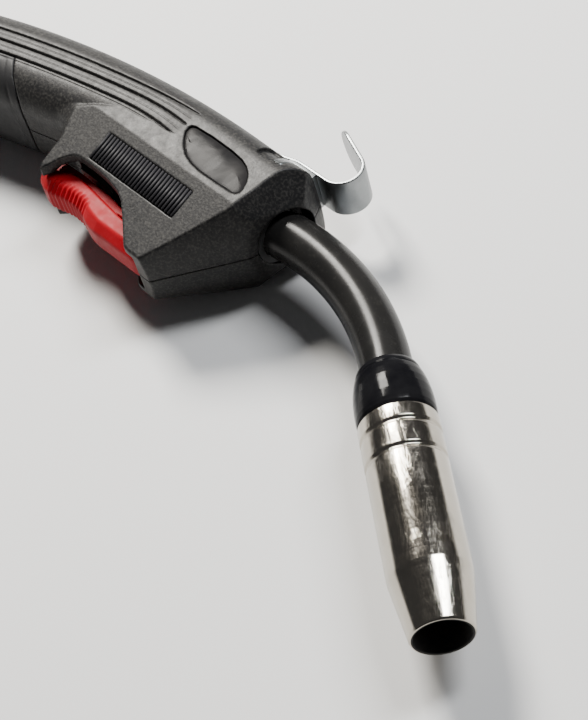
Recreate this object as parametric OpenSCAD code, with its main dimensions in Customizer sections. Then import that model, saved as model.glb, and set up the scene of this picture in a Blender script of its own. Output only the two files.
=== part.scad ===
/* [Handle] */
// radius of the curved back of the handle, mm
back_r = 430; // [380:5:480]
// height of the grip section under the back, mm
grip_h = 20.3; // [18:0.1:26]
// half width of the handle, mm
half_w = 15; // [13:0.1:17]
// wall thickness of the two half shells, mm
wall = 2.5; // [1.8:0.1:3.5]
// corner radius along the back, mm
back_round = 8; // [5:0.5:9]
// corner radius under the grip, mm
grip_round = 9.3; // [6:0.1:9.8]
// sweep of the handle along its curved back, degrees
handle_sweep = 23.4; // [15:0.1:26]
// how far the lower housing reaches below the centre line, mm
housing_drop = 27.3; // [24:0.1:30]
// half width of the housing at its lower edge, mm
housing_foot = 7.9; // [6.5:0.1:10]
// depth of the soft pad let into the underside of the grip, mm
pad_depth = 1.6; // [1:0.1:2.2]

/* [Vent grille and grooves] */
// number of slots in the side grille
grille_n = 27; // [12:1:32]
// distance from slot to slot, mm
grille_pitch = 1.15; // [0.9:0.05:1.6]
// width of one slot, mm
grille_w = 0.55; // [0.3:0.05:0.8]
// depth of one slot, mm
grille_deep = 0.9; // [0.4:0.1:1.5]
// depth of the long grooves along the back, mm
groove_deep = 0.6; // [0.2:0.1:1]

/* [Trigger] */
// width of the trigger, mm
trigger_w = 10; // [8:0.1:11]
// gap between the trigger and the channel on each side, mm
trigger_gap = 0.6; // [0.3:0.1:1]
// radius of the pivot pin, mm
pin_r = 1.5; // [1:0.1:2]

/* [Neck] */
// bend radius of the neck, mm
bend_r = 68.4; // [50:0.1:90]
// angle of the neck where it leaves the handle, degrees
neck_in = 13; // [0:0.5:20]
// angle of the nozzle below the handle axis, degrees
neck_out = -34.6; // [-50:0.1:-20]
// outer radius of the neck sleeve, mm
sleeve_r = 6; // [5:0.05:7]
// outer radius of the conductor tube, mm
tube_r = 4.5; // [4:0.05:5]
// outer radius of the wire liner, mm
liner_r = 2.2; // [1.5:0.05:2.4]

/* [Nozzle and contact tip] */
// outer radius of the gas nozzle, mm
nozzle_r = 9; // [8:0.05:10]
// length of the gas nozzle, mm
nozzle_len = 53; // [48:0.5:60]
// bore radius at the nozzle mouth, mm
mouth_r = 6; // [5:0.05:8]
// outer radius at the nozzle mouth, mm
mouth_out_r = 6.9; // [6.4:0.05:8]
// length of the tapered end of the nozzle, mm
taper_len = 13.5; // [8:0.5:20]
// length of the insulator outside the nozzle, mm
insulator_len = 14.4; // [10:0.1:18]
// how far the contact tip sits back from the mouth, mm
tip_back = 7.6; // [2:0.1:9]
// radius of the wire hole in the contact tip, mm
wire_r = 0.5; // [0.4:0.05:0.8]

/* [Hanging hook] */
// width of the hook strip, mm
hook_w = 11; // [8:0.5:14]
// thickness of the hook strip, mm
hook_t = 0.9; // [0.8:0.1:2]
// inside curl radius of the hook, measured to the middle of the strip, mm
hook_curl = 5.1; // [3:0.1:8]
// straight run of the hook after the curl, up to its rounded tip, mm
hook_tail = 8.5; // [5:0.5:14]

/* [Rear collar] */
// outer radius of the collar at the rear of the handle, mm
collar_r = 13; // [11:0.1:15]
// radius of the cable hole, mm
inlet_r = 7; // [5:0.1:8]
// length of the collar behind the handle, mm
collar_len = 10; // [6:0.5:16]

/* [Hidden] */
$fn = 96;
e = 0.01;
arc_x = 21;
arc_y = 15.3 - back_r;
grip_r0 = back_r - grip_h;
pad_top_r = 419;
bx = 6 * cos(neck_in);
by = 6 * sin(neck_in);
cx = bx + bend_r * sin(neck_in);
cy = by - bend_r * cos(neck_in);
ex = cx - bend_r * sin(neck_out);
ey = cy + bend_r * cos(neck_out);
bend = neck_in - neck_out;
ins0 = 2.6;
noz0 = ins0 + insulator_len;
noz1 = noz0 + nozzle_len;
pivot = [-8, -22];
skirt_w = 8.8;
sw_x0 = -41.5;
sw_y0 = -15.8;
sw_len = 12.8;
sw_h = 6.5;
sw_t = 2.9;
plunger_x = -36;
screws = [[0, -13, 11], [-8, 8.6, 13.6], [-60, 2.8, 13.4]];
slope = (half_w - housing_foot) / (housing_drop - 5);
// outline of the badge recess
badge_pts = [[-18.6, 4.6], [-18.2, 5.3], [-17.2, 5.7], [-11, 5.95], [-4, 5.75], [0, 5.3], [2.6, 4.5],
             [4.6, 3.2], [6.2, 1.3], [7.3, -0.9], [7.4, -1.9], [6.9, -2.7], [5.9, -3.1], [1, -3.3],
             [-5.5, -3.3], [-9, -2.9], [-12.2, -1.9], [-14.9, -0.3], [-17, 1.6], [-18.3, 3.3]];
badge_c = [-5.6, 1.3];
// the back swells into a second, tighter arc between the nose and the cable end
crown_r = 289;
crown_x = -12.85;
crown_y = -273.71;
rear_mid_r = (grip_r0 + back_r) / 2;

// the row frame: floor under the left side, origin in the flat of that side
module place() {
  translate([15, 5, 15]) children();
}

module sweep(a0, a1) {
  translate([arc_x, arc_y, 0]) rotate([0, 0, 90 + a0]) rotate_extrude(angle = a1 - a0) children();
}

module band2d(hw, r0, r1, ct, cb) {
  translate([r0 + cb, -hw]) square([r1 - ct - r0 - cb, 2 * hw]);
  translate([r1 - ct - e, -(hw - ct)]) square([ct + e, 2 * (hw - ct)]);
  translate([r0, -(hw - cb)]) square([cb + e, 2 * (hw - cb)]);
  for (s = [-1, 1]) translate([r1 - ct, s * (hw - ct)]) circle(r = ct);
  for (s = [-1, 1]) translate([r0 + cb, s * (hw - cb)]) circle(r = cb);
}

module band_outer() {
  band2d(half_w, grip_r0, back_r, back_round, grip_round);
}

module band_inner() {
  band2d(half_w - wall, grip_r0 + wall, back_r - wall, back_round - wall, grip_round - wall);
}

// everything below the curved back that belongs to the lower housing
module wedge(inset) {
  rotate([90, 0, 90])
    translate([0, 0, -60])
      linear_extrude(height = 80)
        polygon([[3, half_w - inset], [-5, half_w - inset],
                 [-housing_drop + inset, housing_foot - inset * 0.8],
                 [-housing_drop + inset, -housing_foot + inset * 0.8],
                 [-5, -half_w + inset], [3, -half_w + inset]]);
}

module housing_side_outer() {
  polygon([[-49, 0], [-49, -7.3], [-45.6, -15.6], [-45.4, -22.2], [-44.9, -23.7], [-44.3, -24.3],
           [-38, -25.2], [-6, -housing_drop],
           [-1.5, -housing_drop], [6.7, -15.9], [12.9, -6.8], [13.6, -3.3], [15.5, 3]]);
}

module housing_side_inner() {
  polygon([[-46.3, 0], [-46.3, -7], [-43, -15.6], [-42.5, -24.7],
           [-3.6, -24.7], [4.7, -14.4], [10.6, -5.5], [11.2, -3.3], [12.6, 3]]);
}

module nose_outer() {
  polygon([[-260, 60], [10.7, 60], [10.7, 16.2], [13.6, 13.8], [15.2, 10.6], [15.6, 3],
           [13.6, -3.3], [12.9, -6.8], [6.7, -15.9], [-1.5, -housing_drop], [-8, -60], [-260, -200]]);
}

module nose_inner() {
  polygon([[-260, 60], [8.7, 60], [8.7, 14], [11.4, 11.9], [12.6, 9.6], [12.8, 3],
           [11.2, -3.3], [10.6, -5.5], [4.7, -14.4], [-3.6, -24.7], [-12, -60], [-260, -200]]);
}

module slab(h) {
  translate([0, 0, -h / 2]) linear_extrude(height = h) children();
}

module outer() {
  intersection() {
    union() {
      sweep(0, handle_sweep) band_outer();
      intersection() {
        crown() band2d(half_w, crown_r - 12, crown_r, back_round, 0.5);
        sweep(0, handle_sweep) translate([390, -20]) square([60, 40]);
      }
      intersection() {
        wedge(0);
        slab(40) housing_side_outer();
      }
    }
    slab(40) nose_outer();
    nose_chamfer();
  }
}

// slanted facets on both sides of the nose
module nose_chamfer() {
  translate([0, -200, 0])
    rotate([-90, 0, 0])
      linear_extrude(height = 300)
        polygon([[-260, 16], [8.4, 16], [8.4, 15], [13.3, 9.6], [22, 9.6],
                 [22, -9.6], [13.3, -9.6], [8.4, -15], [8.4, -16], [-260, -16]]);
}

module inner() {
  intersection() {
    union() {
      sweep(0.2, handle_sweep + 1) band_inner();
      crown() translate([crown_r - 14, -6]) square([14 - wall, 12]);
      intersection() {
        wedge(wall);
        slab(40) housing_side_inner();
      }
    }
    slab(40) nose_inner();
    translate([-1.7, 0, 0]) nose_chamfer();
  }
}

module slot_side() {
  polygon([[-44.3, -40], [-44.3, -24.2], [-42.4, -21.2], [-40.2, -18.3], [-38.6, -17.1], [-36.8, -16.6],
           [-29.3, -16.7], [-25.1, -17.1], [-20.9, -17.7], [-17.9, -19.1], [-14.8, -21.5], [-8.8, -26.7],
           [-7.6, -27.6], [-7.6, -40]]);
}

module pad_side() {
  polygon([[-75.9, -5.5], [-71.2, -10.6], [-67, -13.6], [-62, -18], [-62, -40], [-140, -70], [-143, -32],
           [-123, -23], [-100, -12.4]]);
}

module neck_axis() {
  translate([bx, by, 0]) rotate([0, 0, neck_in]) rotate([0, 90, 0]) children();
}

module head_axis() {
  translate([ex, ey, 0]) rotate([0, 0, neck_out]) rotate([0, 90, 0]) children();
}

module bend_sweep(a0, a1) {
  translate([cx, cy, 0]) rotate([0, 0, 90 + neck_in - a1]) rotate_extrude(angle = a1 - a0)
    translate([bend_r, 0]) children();
}

module ring2d(ro, ri) {
  difference() {
    circle(r = ro);
    circle(r = ri);
  }
}

module badge2d(g) {
  polygon([for (p = badge_pts) [badge_c[0] + (p[0] - badge_c[0]) * (1 - g / 13),
                                badge_c[1] + (p[1] - badge_c[1]) * (1 - g / 4.6)]]);
}

module crown() {
  translate([crown_x, crown_y, 0]) rotate([0, 0, 86]) rotate_extrude(angle = 34) children();
}

module grooves() {
  for (g = [[422.8, 15], [419.05, 15]])
    sweep(5.6, handle_sweep - 1.2) translate([g[0] - 0.4, g[1] - groove_deep]) square([0.8, 3]);
  sweep(5.4, 19.5) translate([425.7, 14]) square([0.6, 3]);
}

module grille() {
  for (i = [0 : grille_n - 1])
    translate([-33.8 + i * grille_pitch, -11.3, 13])
      rotate([-atan(slope), 0, 0])
        translate([0, -3.3, -grille_deep])
          cube([grille_w, 6.6, 3]);
}

// one half shell without its fastener holes, flat split face at z = 0
module half_shell() {
  difference() {
    union() {
      intersection() {
        difference() {
          outer();
          inner();
        }
        translate([-260, -260, 0]) cube([320, 320, 40]);
      }
      intersection() {
        union() {
          for (p = screws) translate([p[0], p[1], 0]) cylinder(r = 2.9, h = 15);
          translate([pivot[0], pivot[1], 5.9]) cylinder(r = 3, h = 5);
          for (x = [3.15, 9.65]) translate([sw_x0 + x, sw_y0 + 4.6, sw_t]) cylinder(r = 1.9, h = 12);
          neck_axis() translate([-20, -20, -9]) cube([40, 40, 2.4]);
          neck_axis() translate([-20, -20, -31]) cube([40, 40, 2.4]);
        }
        outer();
        translate([-260, -260, 0]) cube([320, 320, 40]);
      }
    }
    // neck, connector and nose hole
    neck_axis() translate([0, 0, -19]) cylinder(r = sleeve_r + 0.06, h = 19 + e);
    neck_axis() translate([0, 0, -33]) cylinder(r = 6.56, h = 14 + 2 * e);
    bend_sweep(-0.1, 12) circle(r = 7.7);
    // trigger opening and channel
    slab(60) slot_side();
    translate([-62, -45, -(trigger_w / 2 + trigger_gap)])
      cube([56.5, 45 - 14.3, trigger_w + 2 * trigger_gap]);
    // switch pocket between the ribs
    translate([sw_x0 - 0.3, sw_y0 - 2, -sw_t]) cube([sw_len + 0.6, sw_h + 2.3, 2 * sw_t]);
    // soft pad recess
    intersection() {
      sweep(5, handle_sweep - 0.8) difference() {
        translate([grip_r0 - 6, -20]) square([pad_top_r - grip_r0 + 6, 40]);
        band2d(half_w - pad_depth, grip_r0 + pad_depth, back_r, back_round, grip_round - pad_depth);
      }
      slab(60) pad_side();
    }
    // side details
    grooves();
    grille();
    translate([0, 0, half_w - 1]) linear_extrude(height = 3) badge2d(0);
    // pocket for the hook's side tab
    intersection() {
      translate([0.3, 9.4, 8]) cube([5.6, 4.5, 10]);
      sweep(0, 6) difference() {
        translate([410, -25]) square([30, 50]);
        band2d(half_w - 1.2, 400, back_r - 1.2, back_round - 1, 4);
      }
    }
    // groove around the nose for the hook band
    sweep(1.7, 2.1) difference() {
      translate([415, -20]) square([20, 40]);
      band2d(half_w - 1.1, 400, back_r - 1.1, back_round - 1, 4);
    }
    // pivot pin and fastener holes
    translate([pivot[0], pivot[1], -1]) cylinder(r = pin_r + 0.02, h = 9.6);
    for (x = [3.15, 9.65]) translate([sw_x0 + x, sw_y0 + 4.6, -1]) cylinder(r = 1.02, h = 7.6);
    // round seat for the rear collar
    rear_axis() translate([0, 0, -9]) cylinder(r = 8.35, h = 12);
  }
}

module rear_axis() {
  translate([arc_x - rear_mid_r * sin(handle_sweep), arc_y + rear_mid_r * cos(handle_sweep), 0])
    rotate([0, 0, handle_sweep])
      rotate([0, -90, 0])
        children();
}

module right_shell() {
  color([0.06, 0.06, 0.065]) place() difference() {
    half_shell();
    for (p = screws) translate([p[0], p[1], -1]) cylinder(r = 1.52, h = 10);
  }
}

module left_shell() {
  color([0.06, 0.06, 0.065]) place() difference() {
    mirror([0, 0, 1]) half_shell();
    for (p = screws) translate([p[0], p[1], -20]) cylinder(r = 1.72, h = 21);
    for (p = screws) translate([p[0], p[1], -p[2] - 6]) cylinder(r = 2.8, h = 6 + 1.9);
  }
}

module grip_pad() {
  color([0.03, 0.03, 0.03]) place() intersection() {
    sweep(5, handle_sweep - 0.9) difference() {
      band_outer();
      translate([pad_top_r - 0.1, -20]) square([20, 40]);
      band2d(half_w - pad_depth + 0.06, grip_r0 + pad_depth - 0.06, back_r, back_round,
             grip_round - pad_depth + 0.06);
    }
    slab(60) translate([-0.25, -0.1]) pad_side();
  }
}

module badge(side) {
  color([0.02, 0.02, 0.025]) place() mirror([0, 0, side]) translate([0, 0, half_w - 1])
    linear_extrude(height = 0.6) badge2d(0.1);
}

module badge_right() {
  badge(0);
}

module badge_left() {
  badge(1);
}

module trigger_side() {
  difference() {
    union() {
      polygon([[-47.3, -24.1], [-46.7, -24.8], [-44.4, -25.8], [-42.2, -26.1], [-39.9, -25.7],
               [-37.8, -25.1], [-35.5, -24.8], [-33.2, -24.75], [-31, -24.95], [-28.8, -25.5],
               [-26.6, -26.2], [-24.6, -26.8], [-22.4, -27], [-19.5, -26.9], [-13.1, -26.9],
               [-8.2, -26.9], [-6.1, -26.3], [-6.1, -21], [-14, -20.8], [-20, -20.4], [-27.7, -19.6],
               [-37, -18.5], [-39.5, -18.6], [-43, -20.3], [-46.6, -20.8], [-47.3, -21.4]]);
      translate(pivot) circle(r = 3);
    }
    translate(pivot) circle(r = pin_r + 0.05);
  }
}

// thin side walls that run up into the channel and close the gap above the trigger
module skirt_side() {
  polygon([[-46.6, -21], [-46.6, -18.4], [-45.4, -17.5], [-38, -17.2], [-26, -17.6], [-17, -19], [-15, -20]]);
}

module trigger() {
  color([0.6, 0.02, 0.03]) place() difference() {
    union() {
      slab(trigger_w) trigger_side();
      difference() {
        slab(skirt_w) skirt_side();
        slab(skirt_w - 2.2) skirt_side();
      }
    }
    for (i = [0 : 8])
      translate([-40.2 + i * 1.55, -25.9, -6]) cylinder(r = 0.35, h = 12, $fn = 24);
    translate([-54, -19.5, -3.3]) cube([45, 4, 6.6]);
    translate([-30, -22.5, -3.3]) cube([15, 3.2, 6.6]);
  }
}

module trigger_pin() {
  color([0.7, 0.7, 0.72]) place() translate([pivot[0], pivot[1], -8.2]) cylinder(r = pin_r, h = 16.4);
}

module microswitch() {
  color([0.12, 0.1, 0.09]) place() difference() {
    translate([sw_x0, sw_y0, -sw_t]) cube([sw_len, sw_h, 2 * sw_t]);
    for (x = [3.15, 9.65]) translate([sw_x0 + x, sw_y0 + 4.6, -5]) cylinder(r = 1.02, h = 10);
    translate([plunger_x, sw_y0 - 1, 0]) rotate([-90, 0, 0]) cylinder(r = 0.95, h = 4.2);
  }
}

module switch_plunger() {
  color([0.75, 0.1, 0.08]) place() translate([plunger_x, sw_y0 - 3.4, 0]) rotate([-90, 0, 0])
    cylinder(r = 0.9, h = 4.3);
}

module switch_terminals() {
  color([0.72, 0.55, 0.25]) place() for (x = [2.4, 9.2])
    translate([sw_x0 + x, sw_y0 + sw_h, -1.2]) cube([0.5, 3.6, 2.4]);
}

module switch_pins() {
  color([0.7, 0.7, 0.72]) place() for (x = [3.15, 9.65])
    translate([sw_x0 + x, sw_y0 + 4.6, -6.4]) cylinder(r = 1, h = 12.8);
}

module neck_block() {
  color([0.72, 0.55, 0.25]) place() neck_axis() difference() {
    union() {
      translate([0, 0, -32]) cylinder(r = 6.5, h = 12);
      translate([0, 0, -35]) cylinder(r = 4.2, h = 3 + e);
      translate([0, 0, -20 - e]) cylinder(r = tube_r, h = 5);
      translate([0, 0, -16.4]) cylinder(r = sleeve_r, h = 16.4);
    }
    translate([0, 0, -41]) cylinder(r = 3, h = 42);
  }
}

module adapter_nut() {
  color([0.72, 0.55, 0.25]) place() neck_axis() difference() {
    intersection() {
      translate([-5.9, -8, -19.9]) cube([11.8, 16, 3.4]);
      rotate([0, 0, 60]) translate([-5.9, -8, -19.9]) cube([11.8, 16, 3.4]);
      rotate([0, 0, 120]) translate([-5.9, -8, -19.9]) cube([11.8, 16, 3.4]);
    }
    translate([0, 0, -20]) cylinder(r = tube_r + 0.02, h = 4);
  }
}

module neck_tube() {
  color([0.72, 0.45, 0.2]) place() bend_sweep(0, bend) ring2d(tube_r, 3);
}

module neck_sleeve() {
  color([0.03, 0.03, 0.032]) place() bend_sweep(0, bend + 3.1) ring2d(sleeve_r, tube_r + 0.15);
}

module neck_seal() {
  color([0.02, 0.02, 0.02]) place() bend_sweep(2.6, 5.6) ring2d(7.65, sleeve_r + 0.02);
}

module neck_liner() {
  color([0.75, 0.75, 0.75]) place() bend_sweep(-8.4, bend + 8.4) ring2d(liner_r, 1);
}

module gas_diffuser() {
  color([0.72, 0.5, 0.22]) place() head_axis() difference() {
    rotate_extrude() polygon([[3, 0], [tube_r, 0], [tube_r, 6.5], [5.6, 6.5], [5.6, 30], [5, 31], [5, 44],
                              [4.4, 45], [3.1, 45], [3.1, 37], [3, 36]]);
    for (a = [0 : 90 : 270])
      rotate([0, 0, a]) translate([2.6, 0, 36]) rotate([0, 90, 0]) cylinder(r = 0.9, h = 4, $fn = 32);
  }
}

module contact_tip() {
  color([0.75, 0.42, 0.22]) place() head_axis() rotate_extrude()
    polygon([[wire_r, 38], [3.05, 38], [3.05, 45.1], [4, 45.1], [4, 54.5], [3.2, 59.5],
             [2.9, noz1 - tip_back - 0.5], [2.4, noz1 - tip_back], [wire_r, noz1 - tip_back]]);
}

module nozzle_insulator() {
  color([0.02, 0.02, 0.022]) place() head_axis() rotate_extrude()
    polygon([[sleeve_r + 0.25, ins0], [6.7, ins0], [7, ins0 + 0.4], [7.5, ins0 + 1.8], [7.9, ins0 + 2.8],
             [8.35, ins0 + 4.6], [8.75, ins0 + 6.8], [8.95, ins0 + 9.2], [8.98, ins0 + 11.6],
             [8.9, ins0 + 13.4], [8.7, noz0], [6.4, noz0], [6.4, noz0 + 10], [5.62, noz0 + 10],
             [5.62, 6.4], [tube_r + 0.02, 6.4], [tube_r + 0.02, ins0 + 1.3], [sleeve_r + 0.25, ins0 + 1.3]]);
}

module nozzle_spring() {
  color([0.7, 0.7, 0.72]) place() head_axis() difference() {
    rotate_extrude() translate([6.42, noz0 + 1]) union() {
      square([0.45, 8]);
      for (i = [0 : 5]) translate([0.3, 0.7 + i * 1.3]) circle(r = 0.45, $fn = 24);
    }
    translate([0, 0, noz0]) cylinder(r = 6.42, h = 12);
    translate([5, -0.6, noz0]) cube([4, 1.2, 12]);
  }
}

module gas_nozzle() {
  color([0.72, 0.7, 0.66]) place() head_axis() rotate_extrude()
    polygon([[7.25, noz0 + 0.1], [8.7, noz0 + 0.1], [nozzle_r, noz0 + 0.5],
             [nozzle_r, noz0 + 4.1], [nozzle_r - 0.3, noz0 + 4.8], [nozzle_r, noz0 + 5.5],
             [nozzle_r, noz0 + 10.9], [nozzle_r - 0.3, noz0 + 11.6], [nozzle_r, noz0 + 12.3],
             [nozzle_r, noz1 - taper_len - 1], [nozzle_r - 0.08, noz1 - taper_len],
             [mouth_out_r + 0.05, noz1 - 0.4], [mouth_out_r - 0.3, noz1], [mouth_r, noz1],
             [mouth_r, noz1 - 3.4], [7.25, noz1 - 12]]);
}

module arc2d(c, r, t, a0, a1) {
  intersection() {
    translate(c) ring2d(r + t / 2, r - t / 2);
    polygon([c, [c[0] + 30 * cos(a0), c[1] + 30 * sin(a0)],
             [c[0] + 60 * cos((a0 + a1) / 2), c[1] + 60 * sin((a0 + a1) / 2)],
             [c[0] + 30 * cos(a1), c[1] + 30 * sin(a1)]]);
  }
}

module strip2d(p, q, t) {
  d = q - p;
  l = norm(d);
  translate(p) rotate(atan2(d[1], d[0])) translate([0, -t / 2]) square([l, t]);
}

module hanging_hook() {
  hy = 17.9;
  c = [13.2, hy + hook_curl];
  a = 68.8;
  p1 = c + hook_curl * [cos(a), sin(a)];
  p2 = p1 + hook_tail * [cos(a + 90), sin(a + 90)];
  color([0.78, 0.78, 0.76]) place() union() {
    slab(hook_w) union() {
      polygon([[-3.7, 15.65], [3, hy - hook_t / 2], [13.25, hy - hook_t / 2], [13.25, hy + hook_t / 2],
               [2.9, hy + hook_t / 2], [-3.9, 16.55]]);
      arc2d(c, hook_curl, hook_t, -90.5, 0);
      arc2d(c, hook_curl, hook_t, -0.5, a + 0.5);
      strip2d(p1, p2, hook_t);
    }
    translate([p2[0], p2[1], 0]) rotate([0, 0, a + 90]) intersection() {
      translate([-1, -hook_t / 2, -hook_w / 2]) cube([hook_w, hook_t, hook_w]);
      translate([-0.6, 2, 0]) rotate([90, 0, 0]) cylinder(r = hook_w / 2 + 0.6, h = 4);
    }
    // band over the nose
    intersection() {
      sweep(1.73, 2.07) difference() {
        band2d(half_w, 400, back_r, back_round, 4);
        band2d(half_w - 1.05, 400, back_r - 1.05, back_round - 1, 4);
      }
      translate([-20, 10, -20]) cube([60, 20, 40]);
    }
    // raised bridge between the band and the strip
    translate([1.2, 15.25, -hook_w / 2]) cube([9, hy - 15.25, hook_w]);
    translate([5.8, 14.4, -hook_w / 2 + 0.5]) cube([1.8, 2, hook_w - 1]);
  }
}

module screw(i) {
  p = screws[i];
  color([0.25, 0.25, 0.27]) place() translate([p[0], p[1], 0]) difference() {
    union() {
      translate([0, 0, -p[2]]) cylinder(r = 2.6, h = 1.9);
      translate([0, 0, -p[2] + 1.8]) cylinder(r = 1.5, h = p[2] + 6.2);
    }
    for (a = [0, 90]) rotate([0, 0, a]) translate([-1.6, -0.3, -p[2] - 1]) cube([3.2, 0.6, 2]);
  }
}

module screw_front() {
  screw(0);
}

module screw_top() {
  screw(1);
}

module screw_rear() {
  screw(2);
}

module rear_collar() {
  color([0.04, 0.04, 0.042]) place() rear_axis() rotate_extrude()
    polygon([[inlet_r, -7], [8.3, -7], [8.3, 0], [collar_r - 2.9, 0], [collar_r - 2.9, 0.4],
             [collar_r - 0.8, 0.4], [collar_r, 1.2], [collar_r, collar_len - 2.5],
             [collar_r - 0.8, collar_len - 0.8], [collar_r - 2.4, collar_len], [inlet_r, collar_len]]);
}

right_shell();
left_shell();
grip_pad();
badge_right();
badge_left();
trigger();
trigger_pin();
microswitch();
switch_plunger();
switch_terminals();
switch_pins();
neck_block();
adapter_nut();
neck_tube();
neck_sleeve();
neck_seal();
neck_liner();
gas_diffuser();
contact_tip();
nozzle_insulator();
nozzle_spring();
gas_nozzle();
hanging_hook();
screw_front();
screw_top();
screw_rear();
rear_collar();
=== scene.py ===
import math

import bmesh
import bpy
import numpy as np
from mathutils import Matrix, Vector


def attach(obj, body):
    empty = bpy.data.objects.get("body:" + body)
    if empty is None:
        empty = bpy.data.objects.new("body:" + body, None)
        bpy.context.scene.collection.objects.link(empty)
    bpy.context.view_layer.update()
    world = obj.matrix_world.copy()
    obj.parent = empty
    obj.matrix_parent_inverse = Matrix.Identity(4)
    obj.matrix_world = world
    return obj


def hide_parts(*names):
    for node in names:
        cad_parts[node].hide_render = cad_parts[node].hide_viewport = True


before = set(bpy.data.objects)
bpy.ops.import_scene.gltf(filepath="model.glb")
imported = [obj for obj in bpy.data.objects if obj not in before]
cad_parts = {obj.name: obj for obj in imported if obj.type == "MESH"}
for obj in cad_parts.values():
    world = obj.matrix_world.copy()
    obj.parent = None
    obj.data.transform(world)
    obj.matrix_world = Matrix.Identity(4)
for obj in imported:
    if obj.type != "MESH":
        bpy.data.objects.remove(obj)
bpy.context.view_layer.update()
MM = 0.001                            # metres in a millimetre
OFF = np.array([15.0, 5.0, 15.0])     # handle frame to row frame, mm

# ---------------------------------------------------------------- dimensions, mm, handle frame
ARC = (21.0, -414.7)                  # centre of the handle's long curve
R_BACK, R_GRIP = 430.0, 409.7         # radii of its back and of its finger side
R_MID = (R_BACK + R_GRIP) / 2
CROWN = (-12.85, -273.71, 289.0)      # centre and radius of the swelling back
SWEEP = math.radians(23.4)            # angle of the rear end
REAR = (ARC[0] - R_MID * math.sin(SWEEP), ARC[1] + R_MID * math.cos(SWEEP))
HALF_W = 14.75                        # half width of the handle
TOP_ROUND, LOW_ROUND = 8.0, 9.3       # its corners towards the back and the fingers
WALL = 2.5
BEND_R = 68.4                         # bend of the neck, and its directions in and out
A_IN, A_OUT = math.radians(13), math.radians(-34.6)
B0 = np.array([6 * math.cos(A_IN), 6 * math.sin(A_IN)])
BC = B0 + BEND_R * np.array([math.sin(A_IN), -math.cos(A_IN)])
BE = BC + BEND_R * np.array([-math.sin(A_OUT), math.cos(A_OUT)])
INS0, NOZ0, NOZ1 = 2.6, 17.0, 70.0    # insulator, nozzle and its mouth, from the end of the bend
# screws: x, y and height of the head
SCREWS = [(0.0, -13.0, 11.0), (-8.0, 8.6, 13.6), (-60.0, 2.8, 13.4)]
PIVOT = (-8.0, -22.0)                 # trigger pin
FLANK_W, FLANK_Y, SLOPE = 14.62, -5.0, 7.1 / 22.3   # lower housing: half width, start and slope of its taper
GRILLE_X, GRILLE_Y = -18.5, -11.8     # middle of the grille, and its half sizes
GRILLE_L, GRILLE_H = 15.8, 3.75
RIBS, RIB_PITCH = 28, 1.15
BAND_DEG = 1.9                        # place of the hook's band along the handle's curve
HOOK_Y, HOOK_R, HOOK_T, HOOK_W = 17.9, 5.1, 0.9, 11.0

# ---------------------------------------------------------------- small maths kit


def smax(a, b, k):
    h = np.clip(0.5 + 0.5 * (a - b) / k, 0, 1)
    return b + (a - b) * h + k * h * (1 - h)


def smin(a, b, k):
    return -smax(-a, -b, k)


def step(a, b, x):
    t = np.clip((x - a) / (b - a), 0, 1)
    return t * t * (3 - 2 * t)


def plane(x, y, ax, ay, nx, ny):
    n = math.hypot(nx, ny)
    return ((x - ax) * nx + (y - ay) * ny) / n


def poly(x, y, pts):
    x, y = np.broadcast_arrays(x, y)
    d = np.full(x.shape, 1e9)
    s = np.ones(x.shape)
    for i in range(len(pts)):
        ax, ay = pts[i]
        bx, by = pts[i - 1]
        ex, ey = bx - ax, by - ay
        wx, wy = x - ax, y - ay
        t = np.clip((wx * ex + wy * ey) / (ex * ex + ey * ey), 0, 1)
        d = np.minimum(d, (wx - ex * t) ** 2 + (wy - ey * t) ** 2)
        c1, c2, c3 = y >= ay, y < by, ex * wy > ey * wx
        s = np.where((c1 & c2 & c3) | (~c1 & ~c2 & ~c3), -s, s)
    return s * np.sqrt(d)


def nets(f, P, smooth_steps=2):
    """Closed quad mesh of f = 0 over a warped grid of points P, one vertex for each cell it crosses."""
    F = f(P[..., 0], P[..., 1], P[..., 2])
    ins = F < 0
    n = np.array(F.shape) - 1
    corner = [(i, j, k) for i in (0, 1) for j in (0, 1) for k in (0, 1)]

    def cut(A, c):
        return A[c[0]:c[0] + n[0], c[1]:c[1] + n[1], c[2]:c[2] + n[2]]

    cnt = sum(cut(ins, c).astype(np.int8) for c in corner)
    act = (cnt > 0) & (cnt < 8)
    idx = np.full(act.shape, -1, np.int64)
    idx[act] = np.arange(act.sum())
    acc = np.zeros((act.sum(), 3))
    num = np.zeros(act.sum())
    for a in corner:
        for ax in range(3):
            if a[ax]:
                continue
            b = list(a)
            b[ax] = 1
            fa, fb = cut(F, a)[act], cut(F, b)[act]
            m = (fa < 0) != (fb < 0)
            t = np.where(m, fa / np.where(m, fa - fb, 1), 0)
            pa, pb = cut(P, a)[act], cut(P, b)[act]
            acc += np.where(m[:, None], pa + t[:, None] * (pb - pa), 0)
            num += m
    V = acc / num[:, None]
    V = project(f, V, smooth_steps)
    quads = []
    for ax in range(3):
        o = [d for d in range(3) if d != ax]
        sl0 = [slice(1, -1)] * 3
        sl1 = [slice(1, -1)] * 3
        sl0[ax] = slice(0, -1)
        sl1[ax] = slice(1, None)
        a, b = ins[tuple(sl0)], ins[tuple(sl1)]
        w = np.argwhere(a != b)
        w[:, o] += 1
        flip = ~ins[tuple(w.T)]
        cells = []
        for d1, d2 in ((-1, -1), (0, -1), (0, 0), (-1, 0)):
            c = w.copy()
            c[:, o[0]] += d1
            c[:, o[1]] += d2
            cells.append(idx[tuple(c.T)])
        q = np.stack(cells, 1)
        if ax == 1:
            flip = ~flip
        q[flip] = q[flip][:, ::-1]
        quads.append(q)
    Q = np.concatenate(quads)
    return V, Q[(Q >= 0).all(1)]


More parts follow.
